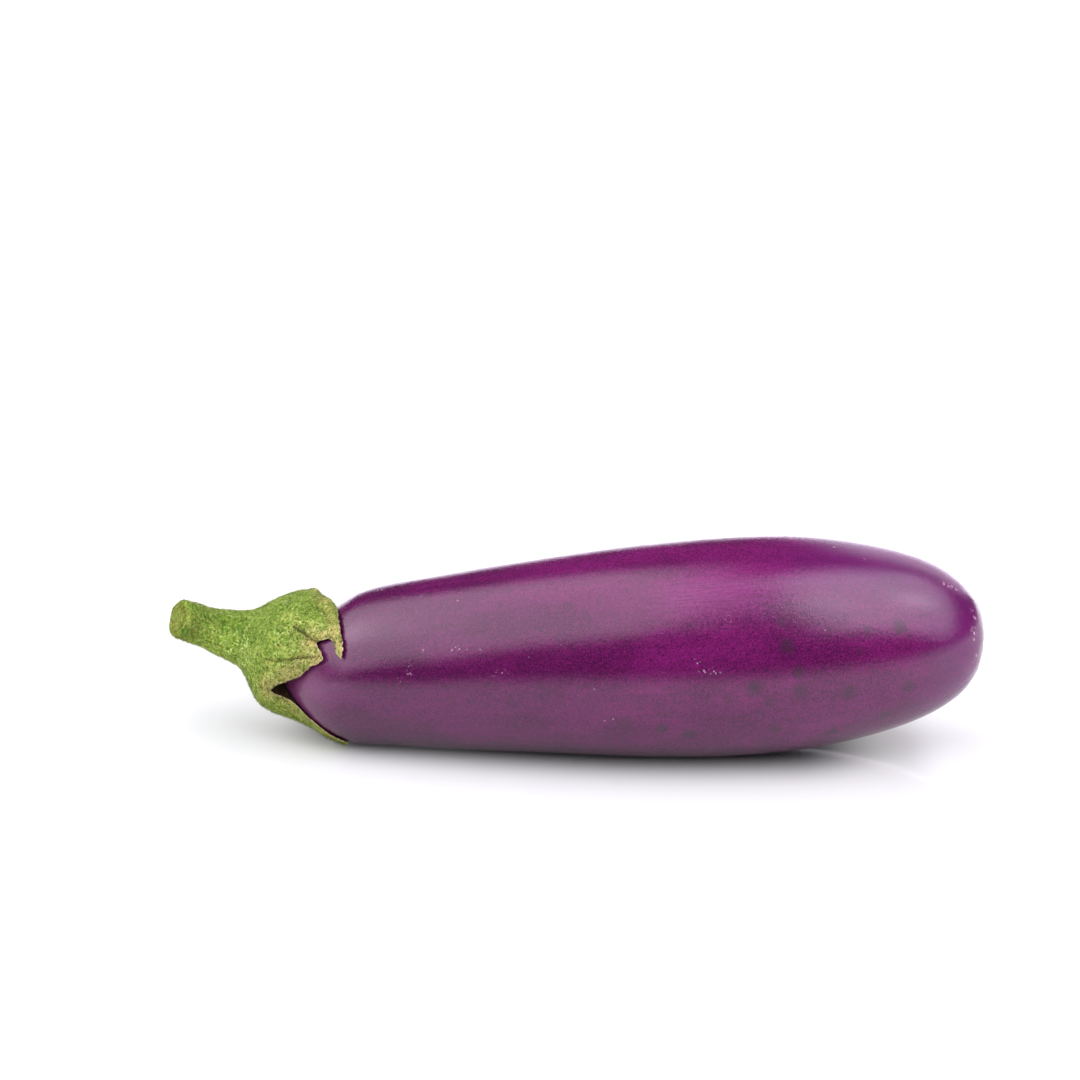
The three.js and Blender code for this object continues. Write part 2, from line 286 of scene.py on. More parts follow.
# ------------------------------------------------------------------ material helpers
class Mat:
    def __init__(self, name):
        self.m = bpy.data.materials.new(name)
        self.m.use_nodes = True
        self.t = self.m.node_tree
        self.t.nodes.clear()
        self.out = self.new("ShaderNodeOutputMaterial")
        self.b = self.new("ShaderNodeBsdfPrincipled")
        self.link(self.b.outputs[0], self.out.inputs[0])

    def new(self, kind, **kw):
        n = self.t.nodes.new(kind)
        for k, v in kw.items():
            setattr(n, k, v)
        return n

    def link(self, a, b):
        self.t.links.new(a, b)

    def put(self, socket, v):
        if isinstance(v, bpy.types.NodeSocket):
            self.link(v, socket)
        elif v is not None:
            if hasattr(socket.default_value, "__len__") and not hasattr(v, "__len__"):
                v = (v, v, v)
            if hasattr(socket.default_value, "__len__") and len(socket.default_value) == 4 and len(v) == 3:
                v = (*v, 1)
            socket.default_value = v

    def attr(self, name, out="Fac"):
        n = self.new("ShaderNodeAttribute", attribute_name=name)
        return n.outputs[out]

    def coords(self):
        return self.new("ShaderNodeTexCoord").outputs["Object"]

    def scaled(self, v, k):
        n = self.new("ShaderNodeVectorMath", operation="MULTIPLY")
        self.put(n.inputs[0], v)
        self.put(n.inputs[1], k)
        return n.outputs[0]

    def noise(self, v, scale, detail=2.0, rough=0.5, out="Fac", distortion=0.0):
        n = self.new("ShaderNodeTexNoise")
        self.put(n.inputs["Vector"], v)
        n.inputs["Scale"].default_value = scale
        n.inputs["Detail"].default_value = detail
        n.inputs["Roughness"].default_value = rough
        n.inputs["Distortion"].default_value = distortion
        return n.outputs[out]

    def voronoi(self, v, scale, out="Distance", randomness=1.0, feature="F1"):
        n = self.new("ShaderNodeTexVoronoi", feature=feature)
        self.put(n.inputs["Vector"], v)
        n.inputs["Scale"].default_value = scale
        n.inputs["Randomness"].default_value = randomness
        return n.outputs[out]

    def range(self, v, a, b, c=0.0, d=1.0, smooth=True):
        n = self.new("ShaderNodeMapRange", interpolation_type="SMOOTHSTEP" if smooth else "LINEAR")
        self.put(n.inputs["Value"], v)
        n.inputs["From Min"].default_value = a
        n.inputs["From Max"].default_value = b
        n.inputs["To Min"].default_value = c
        n.inputs["To Max"].default_value = d
        return n.outputs[0]

    def math(self, op, a, b=None, c=None, clamp=False):
        n = self.new("ShaderNodeMath", operation=op, use_clamp=clamp)
        self.put(n.inputs[0], a)
        if b is not None:
            self.put(n.inputs[1], b)
        if c is not None:
            self.put(n.inputs[2], c)
        return n.outputs[0]

    def mix(self, f, a, b, blend="MIX"):
        n = self.new("ShaderNodeMix", data_type="RGBA", blend_type=blend)
        self.put(n.inputs[0], f)
        self.put(n.inputs[6], a)
        self.put(n.inputs[7], b)
        return n.outputs[2]

    def bump(self, h, strength, distance, normal=None):
        n = self.new("ShaderNodeBump")
        n.inputs["Strength"].default_value = strength
        n.inputs["Distance"].default_value = distance
        self.put(n.inputs["Height"], h)
        if normal is not None:
            self.link(normal, n.inputs["Normal"])
        return n.outputs[0]

    def set(self, **kw):
        for k, v in kw.items():
            self.put(self.b.inputs[k.replace("_", " ")], v)


def srgb(r, g, b):
    return tuple((c / 255 / 12.92) if c / 255 <= 0.04045 else ((c / 255 + 0.055) / 1.055) ** 2.4 for c in (r, g, b))


# ------------------------------------------------------------------ the fruit
# Round dull marks on the skin: station, angle, radius, depth of tone.
SKIN_MARKS = [
    (183.7, 25.5, 2.0, 1.0), (176.1, 24.0, 1.2, 0.8), (156.1, 29.5, 1.3, 0.6), (157.1, 17.5, 2.0, 0.9),
    (159.2, 3.5, 1.6, 0.9), (149.2, -3.5, 2.0, 1.0), (159.8, -7.5, 2.5, 0.8), (171.2, -10.5, 2.1, 0.8),
    (186.1, -12.5, 2.0, 0.9), (152.7, -12.0, 1.8, 0.6), (181.1, -33.0, 1.7, 0.8), (127.6, -27.0, 1.7, 1.1),
    (133.7, -31.5, 1.9, 1.1), (154.1, -30.5, 1.5, 0.8), (167.9, -39.5, 1.7, 1.0), (153.7, -15.0, 1.3, 0.5),
    (150.3, -17.5, 1.3, 0.5), (143.7, -9.5, 1.0, 0.6), (173.9, 13.0, 1.0, 0.5), (122.8, -7.5, 1.2, 0.4),
    (118.0, -24.0, 3.2, 0.35), (128.0, -15.0, 2.6, 0.3), (146.0, 128.0, 2.2, 0.7), (162.0, 150.0, 1.8, 0.8),
    (171.0, -165.0, 2.3, 0.7), (96.0, 140.0, 1.6, 0.5), (120.0, -120.0, 2.4, 0.6), (75.0, -150.0, 1.7, 0.5),
    (188.0, -130.0, 2.0, 0.7), (138.0, -150.0, 1.5, 0.6)]
# Pale corky flecks: station, angle, radius.
FLECKS = [
    (197.1, 61.5, 0.9), (198.8, 62.0, 0.8), (199.6, 60.0, 0.7), (203.5, 42.0, 1.0), (204.6, 36.0, 1.0), (203.6, 23.0, 1.2),
    (203.9, 15.5, 0.9), (205.0, -1.5, 0.8), (203.8, -7.0, 0.5), (177.2, 72.5, 0.5), (176.7, 77.5, 0.5),
    (171.2, 82.0, 0.4), (144.4, 33.0, 0.8), (140.2, 6.5, 1.0), (136.4, 12.0, 0.7), (137.1, 8.5, 0.8),
    (138.1, 6.5, 0.6), (141.2, 6.5, 0.7), (72.2, 26.5, 0.6), (79.6, 26.0, 0.8), (81.3, 25.5, 0.6),
    (83.6, 25.5, 0.7), (85.7, 24.0, 0.5), (89.1, 10.0, 0.8), (91.5, 9.5, 0.7), (65.3, 7.0, 0.6),
    (68.0, 12.0, 0.7), (68.5, 16.5, 0.5), (56.5, 12.5, 0.5), (59.2, 83.5, 0.8), (207.8, 60.0, 0.8),
    (208.6, -100.0, 0.8), (208.2, 160.0, 0.9), (206.6, -60.0, 0.8), (110.0, 120.0, 0.9), (84.0, -140.0, 0.8),
    (152.0, 170.0, 0.9), (64.0, 160.0, 0.7)]


def build_fruit():
    along_n, around_n = 330, 256
    t = np.linspace(0, 1, 6001)
    c = bspline(FRUIT_PROFILE, t)
    arc = np.r_[0, np.cumsum(np.hypot(*np.diff(c, axis=0).T))]
    q = np.linspace(0, arc[-1], along_n + 1)[1:-1]
    s = np.interp(q, arc, c[:, 0])
    r = np.interp(q, arc, c[:, 1])
    ang = np.radians(-90) + 2 * np.pi * np.arange(around_n) / around_n
    S, A = np.meshgrid(s, ang, indexing="ij")
    R = np.repeat(r[:, None], around_n, 1)
    R = R + skin_radius(S, A) - fruit_radius(S)
    G = place(S, A, R)
    N = ring_normals(G)
    centre = spine_at(S)[0]
    if ((G - centre) * N).sum() < 0:
        N = -N
    skin = np.stack([S, 27 * np.cos(A) * np.clip(R / 20, 0.05, 1), 27 * np.sin(A) * np.clip(R / 20, 0.05, 1)], -1)
    # the slight unevenness of a grown surface: long shallow swells, and faint ribs near the shoulder
    swell = 0.10 * fbm(skin * np.array([1 / 34, 1 / 15, 1 / 15]), 2, 3)
    swell += 0.035 * fbm(skin * np.array([1 / 12, 1 / 5, 1 / 5]), 2, 9)
    shoulder = ramp(S, 44, 52) * (1 - ramp(S, 60, 100))
    swell += 0.09 * shoulder * np.sin(5 * A + 0.7 + 0.01 * S)
    tip = ramp(S, 196, 208.5)
    swell += 0.10 * tip * fbm(skin / 4.0, 2, 21)
    pit = bell(np.hypot(S - 209.2, R), 3.0) * 0.55  # the sunken blossom scar
    fade = np.clip(R / 4, 0, 1)
    G = G + N * (swell * fade - pit)[..., None]
    # marks and flecks
    marks = np.zeros(S.shape)
    P3 = G
    for (ms, ma, mr, depth) in SKIN_MARKS:
        a = np.radians(ma)
        m = place(np.array([ms]), np.array([a]), fruit_radius(np.array([ms])))[0]
        d = np.linalg.norm(P3 - m, axis=-1)
        wob = 1 + 0.28 * noise(P3 / 0.9, 31)
        marks = np.maximum(marks, depth * (1 - ramp(d / (1.18 * mr * wob), 0.40, 1.15)))
    flecks = np.zeros(S.shape)
    for (ms, ma, mr) in FLECKS:
        a = np.radians(ma)
        rr = np.interp(ms, c[:, 0], c[:, 1])
        m = place(np.array([ms]), np.array([a]), np.array([rr]))[0]
        d = np.linalg.norm(P3 - m, axis=-1)
        flecks = np.maximum(flecks, 1 - ramp(d / (mr * 1.25), 0.3, 1.2))
    poles = bspline(FRUIT_PROFILE, np.array([0.0, 1.0]))
    p0 = spine_at(poles[0, 0])[0]
    p1, al, _, _ = spine_at(poles[1, 0])
    p1 = p1 - al * 0.55
    G[..., 2] = np.maximum(G[..., 2], 0.0)
    verts, quads, tris = closed_skin(G, p0, p1)
    quads, tris = face_out(verts, quads, tris)

    def full(x, a, b):
        return np.concatenate([[a], x.ravel(), [b]])
    vskin = np.vstack([[poles[0, 0], 0, 0], skin.reshape(-1, 3), [poles[1, 0], 0, 0]])
    ob = make_mesh("fruit_skin", verts, quads, tris, {
        "skin": vskin, "marks": full(marks, 0, 0), "flecks": full(flecks, 0, 0.3),
        "station": full(S, poles[0, 0], poles[1, 0])})
    return ob


def fruit_material():
    m = Mat("eggplant_skin")
    v = m.attr("skin", "Vector")          # millimetres along, and round the fruit
    o = m.coords()                        # metres
    station = m.attr("station")
    # tone: long streaks that run the length, cloudy patches, and a fine speckle of pores
    streak = m.noise(m.scaled(v, (0.035, 1.0, 1.0)), 0.9, 3, 0.6)
    wisp = m.noise(m.scaled(v, (0.05, 1.0, 1.0)), 2.6, 2, 0.6)
    cloud = m.noise(m.scaled(v, (0.6, 1.0, 1.0)), 0.075, 3, 0.55)
    grain = m.noise(o, 3000.0, 2, 0.8)
    blots = m.noise(o, 1000.0, 2, 0.6)
    pores = m.voronoi(o, 2100.0)
    tone = m.mix(m.range(cloud, 0.36, 0.64), (0.098, 0.0048, 0.066), (0.170, 0.0082, 0.113))
    tone = m.mix(m.range(streak, 0.42, 0.68, 0.0, 0.40), tone, (0.082, 0.0050, 0.058))
    tone = m.mix(m.range(wisp, 0.56, 0.72, 0.0, 0.28), tone, (0.190, 0.014, 0.132))
    tone = m.mix(m.range(blots, 0.34, 0.48, 0.45, 0.0), tone, (0.052, 0.0040, 0.042))
    tone = m.mix(m.range(grain, 0.37, 0.49, 0.78, 0.0), tone, (0.022, 0.0020, 0.024))
    tone = m.mix(m.range(grain, 0.54, 0.66, 0.0, 0.70), tone, (0.290, 0.013, 0.205))
    tone = m.mix(m.range(pores, 0.0, 0.26, 0.50, 0.0), tone, (0.290, 0.022, 0.210))
    # painted shade: the skin darkens towards the calyx end
    tone = m.mix(m.range(station, 70.0, 150.0, 0.31, 0.0), tone, (0.022, 0.004, 0.020))
    # painted highlight: a paler pink patch on the front of the belly, where the two soft box highlights meet; then
    # painted shade on the underside
    xyz = m.new("ShaderNodeSeparateXYZ")
    m.put(xyz.inputs[0], v)
    painted_highlight = m.math("MULTIPLY", m.range(station, 112.0, 138.0), m.range(station, 158.0, 143.0))
    painted_highlight = m.math("MULTIPLY", painted_highlight, m.math("MULTIPLY", m.range(xyz.outputs[2], 14.0, 19.0), m.range(xyz.outputs[2], 24.5, 20.5)))
    painted_highlight = m.math("MULTIPLY", painted_highlight, m.math("GREATER_THAN", xyz.outputs[1], 0.0))
    painted_highlight = m.math("MULTIPLY", painted_highlight, m.range(wisp, 0.35, 0.60, 0.20, 0.36))
    tone = m.mix(painted_highlight, tone, (0.360, 0.070, 0.270))
    # painted shade: the skin darkens within ten millimetres of the table, in place of its contact shadow
    low = m.new("ShaderNodeSeparateXYZ")
    m.put(low.inputs[0], o)
    tone = m.mix(m.range(low.outputs[2], 0.0015, 0.010, 0.70, 0.0), tone, (0.026, 0.004, 0.020))
    # the back of the thick end is a little bluer, and so is the very tip
    blue = m.math("MULTIPLY", m.range(station, 148.0, 176.0), m.range(xyz.outputs[2], 17.0, 25.0))
    blue = m.math("MAXIMUM", blue, m.range(station, 184.0, 200.0))
    tone = m.mix(m.math("MULTIPLY", blue, 0.50), tone, (0.122, 0.011, 0.118))
    # dull round marks, a grey violet
    blotch = m.math("MULTIPLY", m.attr("marks"), m.range(m.noise(o, 800.0, 2, 0.6), 0.25, 0.55, 0.70, 1.0))
    tone = m.mix(m.math("MULTIPLY", blotch, 0.66), tone, (0.030, 0.013, 0.030))
    # pale flecks, broken into dots
    dots = m.range(m.voronoi(o, 1200.0), 0.17, 0.38, 1.0, 0.0)
    dots = m.mix(m.range(station, 190.0, 196.0), dots, m.range(m.voronoi(o, 900.0), 0.26, 0.50, 1.0, 0.0))
    fl = m.math("MULTIPLY", m.attr("flecks"), dots)
    tone = m.mix(m.math("MULTIPLY", fl, 0.80), tone, (0.56, 0.28, 0.45))
    # a few stray pinpricks everywhere
    keep = m.range(m.noise(o, 55.0, 1, 0.5), 0.58, 0.70)
    pr = m.math("MULTIPLY", m.range(m.voronoi(o, 300.0), 0.050, 0.095, 1.0, 0.0), keep)
    tone = m.mix(m.math("MULTIPLY", pr, 0.65), tone, (0.46, 0.22, 0.36))
    # the dry scar that the blossom left
    around = m.math("MULTIPLY", m.math("SQRT", m.math("ADD", m.math("POWER", m.math("ABSOLUTE", xyz.outputs[1]), 2.0),
                                                       m.math("POWER", m.math("ABSOLUTE", xyz.outputs[2]), 2.0))), 0.741)
    around = m.math("ADD", around, m.range(m.noise(o, 700.0, 2, 0.6), 0.3, 0.7, -0.7, 0.7))
    scar = m.math("MULTIPLY", m.range(around, 3.0, 2.1), m.range(station, 200.0, 205.0))
    tone = m.mix(m.math("MULTIPLY", scar, 0.85), tone, (0.190, 0.105, 0.070))
    # paler, greener collar: partly the skin's own colour where the calyx shaded it as it grew, partly painted light
    # that brightens the skin beside the lobes
    collar_and_painted_light = m.range(station, 36.0, 50.0, 1.0, 0.0)
    tone = m.mix(m.math("MULTIPLY", collar_and_painted_light, 0.30), tone, (0.30, 0.10, 0.22))
    rough = m.math("ADD", m.range(grain, 0.35, 0.65, 0.11, 0.17), m.math("MULTIPLY", blotch, 0.10))
    rough = m.math("ADD", rough, m.math("MULTIPLY", fl, 0.3))
    rough = m.math("ADD", rough, m.math("MULTIPLY", scar, 0.4))
    h = m.math("ADD", m.math("MULTIPLY", grain, 0.55), m.math("MULTIPLY", blots, 0.60))
    bump = m.bump(h, 0.42, 0.00016)
    m.set(Base_Color=tone, Roughness=rough, IOR=1.5, Normal=bump)
    return m.m


# ------------------------------------------------------------------ the calyx
def edge_curve(n_per=8):
    """The edge table made smooth: columns of (base angle, edge station, edge angle)."""
    K = len(CALYX_EDGE)
    ext = np.vstack([CALYX_EDGE[-1] + [360, 0, 360], CALYX_EDGE, CALYX_EDGE[0] - [360, 0, 360], CALYX_EDGE[1] - [360, 0, 360]])
    out = []
    for i in range(K):
        p0, p1, p2, p3 = ext[i], ext[i + 1], ext[i + 2], ext[i + 3]
        for t in np.arange(n_per) / n_per:
            cat = 0.5 * ((2 * p1) + (p2 - p0) * t + (2 * p0 - 5 * p1 + 4 * p2 - p3) * t ** 2
                         + (3 * p1 - p0 - 3 * p2 + p3) * t ** 3)
            lin = p1 * (1 - t) + p2 * t
            row = 0.45 * cat + 0.55 * lin
            row[0] = lin[0]
            out.append(row)
    return np.array(out)


CREASES = [  # (station, angle) along each furrow, with depth and half width in millimetres
    ([(33.6, 45.5), (36.5, 43.0), (39.0, 40.3), (41.4, 37.6)], 0.60, 0.34, 1.0),
    ([(28.6, 9.0), (31.0, 9.5), (33.4, 12.0), (35.5, 15.5), (38.3, 20.0), (41.0, 22.5), (43.2, 24.0)], 0.36, 0.32, 0.85),
    ([(24.5, 12.0), (27.5, 8.0), (31.0, 2.0)], 0.25, 0.8, 0.35),
    ([(41.8, 35.5), (41.0, 37.2), (39.9, 38.6), (38.8, 38.2)], 0.06, 0.42, 0.85),
    ([(43.6, 25.5), (43.0, 22.5), (42.3, 20.0)], 0.06, 0.42, 0.75),
    ([(40.4, 11.5), (39.2, 6.0)], 0.05, 0.30, 0.55),
    ([(35.0, 79.0), (39.5, 72.0), (42.5, 62.0), (45.3, 51.0), (47.0, 43.5)], 0.26, 0.42, 0.40),
    ([(28.0, -20.0), (32.0, -21.0)], 0.3, 0.6, 0.4),
    ([(31.0, -46.0), (38.0, -50.0), (45.5, -56.0)], 0.25, 0.45, 0.35),
    ([(30.5, -96.5), (33.2, -98.0)], 0.35, 0.6, 0.4),
    ([(32.0, -132.0), (40.0, -134.0), (45.0, -136.0)], 0.3, 0.45, 0.5),
    ([(31.0, -172.0), (34.6, -173.0)], 0.35, 0.6, 0.4),
    ([(32.0, 152.0), (39.0, 150.5), (45.5, 150.0)], 0.3, 0.45, 0.5),
    ([(31.0, 113.0), (35.5, 112.0)], 0.35, 0.6, 0.4)]


def to_line(S, A, pts):
    """Distance in millimetres from each (station, angle) to a polyline on the calyx, and how far along it."""
    best = np.full(S.shape, 1e9)
    where = np.zeros(S.shape)
    n = len(pts) - 1
    rr = 16.5
    for i in range(n):
        (s0, a0), (s1, a1) = pts[i], pts[i + 1]
        x0, y0 = s0, 0.0
        x1, y1 = s1, np.radians(a1 - a0) * rr
        px, py = S, wrap(A - np.radians(a0)) * rr
        L2 = (x1 - x0) ** 2 + (y1 - y0) ** 2
        t = np.clip(((px - x0) * (x1 - x0) + (py - y0) * (y1 - y0)) / L2, 0, 1)
        d = np.hypot(px - (x0 + t * (x1 - x0)), py - (y0 + t * (y1 - y0)))
        m = d < best
        best = np.where(m, d, best)
        where = np.where(m, (i + t) / n, where)
    return best, where


def stem_relief(S, A):
    """Height over the plain tube of the stem and the calyx's outside: ribs, furrows and felted lumps."""
    q = np.stack([S, outer_table(S) * np.cos(A), outer_table(S) * np.sin(A)], -1)
    ribs = 0.20 * np.sin(5 * A + 0.8 + 0.05 * S) + 0.10 * np.sin(9 * A - 1.1 + 0.09 * S)
    ribs = ribs * ramp(S, 1.0, 6.0) * (1 - ramp(S, 24, 34))
    lumps = 0.20 * fbm(q * np.array([0.22, 0.42, 0.42]), 3, 41) + 0.10 * fbm(q * np.array([0.8, 1.2, 1.2]), 3, 57)
    lumps = lumps * ramp(S, -0.5, 2.0)
    return ribs + lumps


def build_calyx():
    cols = edge_curve(8)                               # 448 columns
    C = len(cols)
    base = JOINT_STATION - 0.4
    rag = fbm(np.stack([np.radians(cols[:, 2]) * 17 * 0.9, cols[:, 1] * 0.6, np.zeros(C)], -1), 3, 77)
    fine = noise(np.stack([np.radians(cols[:, 2]) * 17 * 2.6, cols[:, 1] * 2.2, np.ones(C)], -1), 78)
    edge_s = cols[:, 1] + 0.30 * rag + 0.26 * fine
    n_out, n_in = 104, 34
    f = np.linspace(0, 1, n_out + 1)[:, None]
    S = base + (edge_s[None] - base) * f
    turn = np.clip((S - HOOK_STATION) / np.maximum(edge_s[None] - HOOK_STATION, 0.01), 0, 1) ** 2
    A = np.radians(cols[None, :, 0] + (cols[None, :, 2] - cols[None, :, 0]) * turn)
    to_edge = edge_s[None] - S                         # along the strip
    R0 = outer_radius(S, A)
    # how far each point is from the edge, measured on the surface
    ex, ey = edge_s, np.radians(cols[:, 2]) * 17.0
    dist = np.full(S.shape, 1e9)
    for k in range(C):
        dy = A * 17.0 - ey[k]
        dy = dy - 2 * np.pi * 17.0 * np.round(dy / (2 * np.pi * 17.0))
        dist = np.minimum(dist, np.hypot(S - ex[k], dy))
    H = stem_relief(S, A)
    furrow = np.zeros(S.shape)
    for pts, depth, width, tone in CREASES:
        d, w = to_line(S, A, pts)
        wob = 1 + 0.35 * noise(np.stack([S * 1.1, A * 17, 0 * S], -1), 91)
        endfade = np.minimum(ramp(w, 0.0, 0.12) + 0.2, 1)
        H = H - depth * bell(d, width * wob * 1.3) * endfade
        H = H + 0.35 * depth * bell(d - 1.1, 0.7) * endfade
        furrow = np.maximum(furrow, tone * bell(d, width * wob) * endfade)
    # lobes crown gently between the notches and thin towards the rim, and the rim lifts a little
    lift = 0.30 + 0.45 * noise(np.stack([A * 17 / 5.5, S * 0.1, 0 * S], -1), 15)
    H = H + lift * (1 - ramp(dist, 0.0, 2.6))
    R = R0 + H
    turnround = wrap(A - np.radians(-167))            # 0 at the middle of the side facing away
    hug = 1 - ramp(np.abs(turnround), np.radians(70), np.radians(84))
    hug = hug * (1 - ramp(dist, 0.0, 5.0)) * ramp(S, 27, 31)
    R = R * (1 - hug) + (fruit_radius(S) + 1.15 + 0.5 * H) * hug
    # the rims lie close to the skin
    seen = skin_radius(S, A)
    close = (1 - ramp(dist, 0.2, 6.0)) * ramp(S, 32, 40) * (1 - 0.85 * bell(wrap(A - np.radians(80)), np.radians(38)))
    stand = 1.00
    R = R - 0.80 * close * np.maximum(R - (seen + stand + 0.35 * H), 0)
    R = np.where(S > 30, np.maximum(R, seen + 0.72), R)
    outer = place(S, A, R)
    # inside
    curve = FRUIT_CURVE
    dq = np.gradient(curve, axis=0)
    dl = np.hypot(dq[:, 0], dq[:, 1]) + 1e-9
    inner_curve = np.stack([curve[:, 0] - CLEARANCE * dq[:, 1] / dl, curve[:, 1] + CLEARANCE * dq[:, 0] / dl], -1)
    inner_curve[0] = [FRUIT_PROFILE[0, 0] - CLEARANCE, 0]
    rows = []
    for k in range(n_in):
        g = k / n_in
        j_edge = np.searchsorted(inner_curve[:1500, 0], edge_s - 0.12)
        j = np.maximum(3, (j_edge * (1 - g)).astype(int))
        s = inner_curve[j, 0]
        r = inner_curve[j, 1]
        if k == 0:
            s = edge_s - 0.12
        tn = np.clip((s - HOOK_STATION) / np.maximum(edge_s - HOOK_STATION, 0.01), 0, 1) ** 2
        a = np.radians(cols[:, 0] + (cols[:, 2] - cols[:, 0]) * tn)
        hollow = outer_radius(s, a) - wall_table(s)
        r = np.maximum(r, r + (hollow - r) * np.clip((s - 25) / 3, 0, 1))
        r = r + 0.10 * noise(np.stack([s * 0.5, a * 9, 0 * s], -1), 66) * (g > 0.03)
        behind = edge_s - s                       # distance back from the edge
        r = np.where(behind < 12, np.maximum(np.minimum(r, outer_radius(s, a) - 0.55), skin_radius(s, a) + 0.20), r)
        r = np.where(behind < 5, np.minimum(r, skin_radius(s, a) + 0.30), r)
        if k == 0:
            r = R[-1] - 0.40
        rows.append((s, a, r))
    Si = np.array([x[0] for x in rows])
    Ai = np.array([x[1] for x in rows])
    Ri = np.array([x[2] for x in rows])
    inner = place(Si, Ai, Ri)
    # a rounded lip between the two
    lip_s = edge_s + 0.16
    tn = np.clip((lip_s - HOOK_STATION) / np.maximum(edge_s - HOOK_STATION, 0.01), 0, 1.05) ** 2
    lip_a = np.radians(cols[:, 0] + (cols[:, 2] - cols[:, 0]) * tn)
    lip_r = 0.5 * (R[-1] + Ri[0])
    lip = place(lip_s, lip_a, lip_r)[None]
    lip0 = place(edge_s + 0.10, lip_a, R[-1] * 0.8 + Ri[0] * 0.2)[None]
    lip1 = place(edge_s + 0.08, lip_a, R[-1] * 0.2 + Ri[0] * 0.8)[None]
    rings = np.vstack([outer, lip0, lip, lip1, inner])
    p0 = spine_at(base)[0]
    p1 = spine_at(inner_curve[0, 0])[0]
    verts, quads, tris = closed_skin(rings, p0, p1)
    quads, tris = face_out(verts, quads, tris)

    def stack(o, lipv, i, a, b):
        return np.concatenate([[a], o.ravel(), np.tile(lipv, (3, 1)).ravel(), i.ravel(), [b]])
    zero_in = np.zeros(Si.shape)
    q_out = np.stack([S, R0 * np.cos(A), R0 * np.sin(A)], -1)
    q_in = np.stack([Si, Ri * np.cos(Ai), Ri * np.sin(Ai)], -1)
    q_lip = np.stack([lip_s, lip_r * np.cos(lip_a), lip_r * np.sin(lip_a)], -1)
    felt = np.vstack([[base, 0, 0], q_out.reshape(-1, 3), np.tile(q_lip, (3, 1)), q_in.reshape(-1, 3), [inner_curve[0, 0], 0, 0]])
    ob = make_mesh("calyx_cup", verts, quads, tris, {
        "felt": felt,
        "edge": stack(dist, np.zeros(C), edge_s[None] - Si, 20, 20),
        "furrow": stack(furrow, np.zeros(C), zero_in, 0, 0),
        "station": stack(S, lip_s, Si, base, 22),
        "inside": stack(np.zeros(S.shape), np.full(C, 0.25), np.ones(Si.shape), 0, 1)})
    return ob, dict(grid=outer, S=S, A=A, dist=dist, furrow=furrow)


# ------------------------------------------------------------------ the stem
def build_stem():
    around = 200
    end = JOINT_STATION
    ang = np.radians(-90) + 2 * np.pi * np.arange(around) / around
    s = np.linspace(0.0, end, 84)
    s = np.where(s < 1.4, s, s)
    S, A = np.meshgrid(s, ang, indexing="ij")
    worn = 1.05 * (1 - ramp(S, -0.6, 1.3)) ** 1.5       # rounded, shrunk rim at the cut
    R = outer_radius(S, A) + stem_relief(S, A) - worn
    cut_wave = 0.30 * fbm(np.stack([np.cos(A) * 1.7, np.sin(A) * 1.7, 0 * A], -1), 2, 5)
    slant = -0.75 * np.clip(np.cos(A - np.radians(118)), 0, 1) - 0.45 * np.clip(-np.cos(A - np.radians(118)), 0, 1)
    Sw = S + (cut_wave + slant) * (1 - ramp(S, 0.0, 4.0))
    G = place(Sw, A, R)
    # the cut face: rings inwards, a shallow dish with a raised woody ring
    face = []
    rim = R[0]
    for g in np.linspace(0.93, 0.08, 14):
        dish = -0.25 * (1 - g ** 2) - 0.20 * bell(g - 0.66, 0.12) - 0.12 * ramp(g, 0.80, 1.0)
        rough = 0.10 * noise(np.stack([np.cos(ang) * g * 5, np.sin(ang) * g * 5, 0 * ang + 3], -1), 12)
        ss = 0.05 + dish + rough + (cut_wave[0] + slant[0]) * g
        face.append(place(ss, ang, rim * g))
    face = np.array(face)[::-1]
    rings = np.vstack([face, G])
    p0 = spine_at(-0.15)[0]
    p1 = spine_at(end)[0]
    verts, quads, tris = closed_skin(rings, p0, p1)
    quads, tris = face_out(verts, quads, tris)
    gs = np.linspace(0.93, 0.08, 14)[::-1]
    cutr = np.concatenate([[0.0], np.repeat(gs, around), np.ones(S.size), [1.0]])
    cut = np.concatenate([[1.0], np.ones(14 * around), (1 - ramp(S, 0.0, 0.5)).ravel(), [0.0]])
    fr = np.stack([np.zeros((14, around)), np.repeat(gs[:, None], around, 1) * 5 * np.cos(ang), np.repeat(gs[:, None], around, 1) * 5 * np.sin(ang)], -1)
    q = np.stack([S, R * np.cos(A), R * np.sin(A)], -1)
    felt = np.vstack([[0, 0, 0], fr.reshape(-1, 3), q.reshape(-1, 3), [end, 0, 0]])
    st = np.concatenate([[0.0], np.zeros(14 * around), S.ravel(), [end]])
    ob = make_mesh("stem_stalk", verts, quads, tris, {
        "felt": felt, "cut": cut, "cutr": cutr, "station": st,
        "edge": np.full(len(verts), 20.0), "furrow": np.zeros(len(verts)), "inside": np.zeros(len(verts))})
    return ob, dict(grid=G, S=S, A=A)


